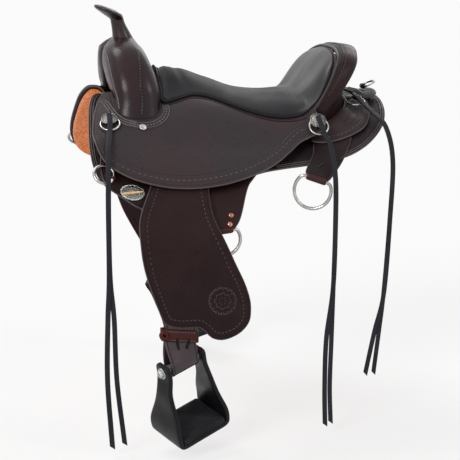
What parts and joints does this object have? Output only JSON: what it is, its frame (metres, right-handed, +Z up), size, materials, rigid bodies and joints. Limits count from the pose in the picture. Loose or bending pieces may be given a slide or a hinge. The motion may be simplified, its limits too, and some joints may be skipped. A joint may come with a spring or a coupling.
{
  "type": "trail saddle",
  "caption": "Horned riding saddle with padded dished seat, swinging fenders and stirrups, rigging rings, conchos and hanging saddle strings.",
  "frame": {"origin": "on the symmetry plane, on the horse's ridge line under the lining, at the middle of the skirts", "axes": "+X towards the cantle (rear), -X towards the horn, +Z up, -Y towards the near (left) side"},
  "size_m": [0.629, 0.7669, 0.8293],
  "materials": {
    "leather": "dark brown, smooth, semi-gloss",
    "seat": "black, soft, semi-matt",
    "hobble": "reddish brown, oiled",
    "string": "charcoal, flat cut",
    "lining": "orange-tan fleece",
    "wood": "covered tree",
    "black": "black powder coat",
    "rubber": "ribbed",
    "silver": "engraved, antiqued",
    "steel": "plated"
  },
  "bodies": {
    "fender_left": {"fender_left": "leather", "stirrup_leather_left": "leather", "hobble_strap_left": "hobble"},
    "stirrup_left": {"stirrup_left": "black", "tread_pad_left": "rubber", "stirrup_bolt_left": "steel"},
    "cinch_ring_left": {"cinch_ring_left": "silver"},
    "breast_ring_left": {"breast_ring_left": "silver"},
    "rear_dee_left": {"rear_dee_left": "silver"},
    "front_concho_left_ring": {"front_concho_left_ring": "silver"},
    "middle_concho_left_ring": {"middle_concho_left_ring": "silver"},
    "back_concho_left_ring": {"back_concho_left_ring": "silver"},
    "fender_right": {"fender_right": "leather", "stirrup_leather_right": "leather", "hobble_strap_right": "hobble"},
    "stirrup_right": {"stirrup_right": "black", "tread_pad_right": "rubber", "stirrup_bolt_right": "steel"},
    "cinch_ring_right": {"cinch_ring_right": "silver"},
    "breast_ring_right": {"breast_ring_right": "silver"},
    "rear_dee_right": {"rear_dee_right": "silver"},
    "front_concho_right_ring": {"front_concho_right_ring": "silver"},
    "middle_concho_right_ring": {"middle_concho_right_ring": "silver"},
    "back_concho_right_ring": {"back_concho_right_ring": "silver"},
    "crupper_dee": {"crupper_dee": "silver"},
    "saddle": {"back_concho_left": "silver", "back_concho_right": "silver", "back_jockey": "leather", "back_string_left": "string", "cantle_roll": "leather", "crupper_strap": "leather", "front_concho_left": "silver", "front_concho_right": "silver", "front_string_left": "string", "ground_seat": "leather", "horn": "leather", "lining_left": "lining", "lining_right": "lining", "middle_concho_left": "silver", "middle_concho_right": "silver", "middle_string_left": "string", "oval_plate_left": "silver", "oval_plate_right": "silver", "rear_rigging_strap_left": "leather", "rear_rigging_strap_right": "leather", "rigging_plate_left": "leather", "rigging_plate_right": "leather", "seat_leather": "leather", "seat_pad": "seat", "seat_screw_left": "silver", "seat_screw_right": "silver", "skirt_left": "leather", "skirt_right": "leather", "swell_cover": "leather", "tree_bar_left": "wood", "tree_bar_right": "wood", "tree_cantle": "wood", "tree_fork": "wood"}
  },
  "joints": [
    {"name": "fender_left_swing", "type": "hinge", "parent": "saddle", "child": "fender_left", "pos_m": [-0.145, -0.24221, -0.06304], "axis": [0.0727, -0.7019, 0.7086], "range_deg": [-6, 20]},
    {"name": "fender_right_swing", "type": "hinge", "parent": "saddle", "child": "fender_right", "pos_m": [-0.145, 0.24221, -0.06304], "axis": [0.0727, 0.7019, 0.7086], "range_deg": [-6, 28]},
    {"name": "stirrup_left_swing", "type": "hinge", "parent": "fender_left", "child": "stirrup_left", "pos_m": [-0.163, -0.32715, -0.41109], "axis": [0.8763, 0.3935, 0.2778], "range_deg": [-35, 35]},
    {"name": "stirrup_right_swing", "type": "hinge", "parent": "fender_right", "child": "stirrup_right", "pos_m": [-0.08921, 0.31767, -0.40926], "axis": [0.7356, -0.5275, 0.425], "range_deg": [-35, 35]},
    {"name": "cinch_ring_left_swing", "type": "hinge", "parent": "saddle", "child": "cinch_ring_left", "pos_m": [-0.074, -0.29648, -0.1665], "axis": [0.9937, 0.0696, 0.0874], "range_deg": [-8, 60]},
    {"name": "cinch_ring_right_swing", "type": "hinge", "parent": "saddle", "child": "cinch_ring_right", "pos_m": [-0.074, 0.29648, -0.1665], "axis": [0.9937, -0.0696, 0.0874], "range_deg": [-60, 8]},
    {"name": "breast_ring_left_swing", "type": "hinge", "parent": "saddle", "child": "breast_ring_left", "pos_m": [-0.278, -0.25882, -0.06602], "axis": [-0.467, -0.6143, -0.636], "range_deg": [-14, 4]},
    {"name": "breast_ring_right_swing", "type": "hinge", "parent": "saddle", "child": "breast_ring_right", "pos_m": [-0.278, 0.25882, -0.06602], "axis": [-0.467, 0.6143, -0.636], "range_deg": [-4, 14]},
    {"name": "rear_dee_left_swing", "type": "hinge", "parent": "saddle", "child": "rear_dee_left", "pos_m": [0.1185, -0.24709, -0.08365], "axis": [0.8916, -0.3358, -0.3038], "range_deg": [-60, 60]},
    {"name": "rear_dee_right_swing", "type": "hinge", "parent": "saddle", "child": "rear_dee_right", "pos_m": [0.1185, 0.24709, -0.08365], "axis": [0.8916, 0.3358, -0.3038], "range_deg": [-60, 60]},
    {"name": "crupper_dee_swing", "type": "hinge", "parent": "saddle", "child": "crupper_dee", "pos_m": [0.287, 0, 0.06903], "axis": [0, 1, 0], "range_deg": [-100, 0]},
    {"name": "front_concho_left_ring_swing", "type": "hinge", "parent": "saddle", "child": "front_concho_left_ring", "pos_m": [-0.27139, -0.16492, 0.03275], "axis": [-0.126, -0.5388, 0.8329], "range_deg": [-20, 20]},
    {"name": "middle_concho_left_ring_swing", "type": "hinge", "parent": "saddle", "child": "middle_concho_left_ring", "pos_m": [0.13643, -0.18695, 0.02185], "axis": [-0.0792, -0.7768, 0.6248], "range_deg": [-20, 20]},
    {"name": "back_concho_left_ring_swing", "type": "hinge", "parent": "saddle", "child": "back_concho_left_ring", "pos_m": [0.24469, -0.07388, 0.05074], "axis": [-0.0518, -0.2994, 0.9527], "range_deg": [-20, 20]},
    {"name": "front_concho_right_ring_swing", "type": "hinge", "parent": "saddle", "child": "front_concho_right_ring", "pos_m": [-0.27139, 0.16492, 0.03275], "axis": [-0.126, 0.5388, 0.8329], "range_deg": [-20, 20]},
    {"name": "middle_concho_right_ring_swing", "type": "hinge", "parent": "saddle", "child": "middle_concho_right_ring", "pos_m": [0.13643, 0.18695, 0.02185], "axis": [-0.0792, 0.7768, 0.6248], "range_deg": [-20, 20]},
    {"name": "back_concho_right_ring_swing", "type": "hinge", "parent": "saddle", "child": "back_concho_right_ring", "pos_m": [0.24469, 0.07388, 0.05074], "axis": [-0.0518, 0.2994, 0.9527], "range_deg": [-20, 20]}
  ]
}
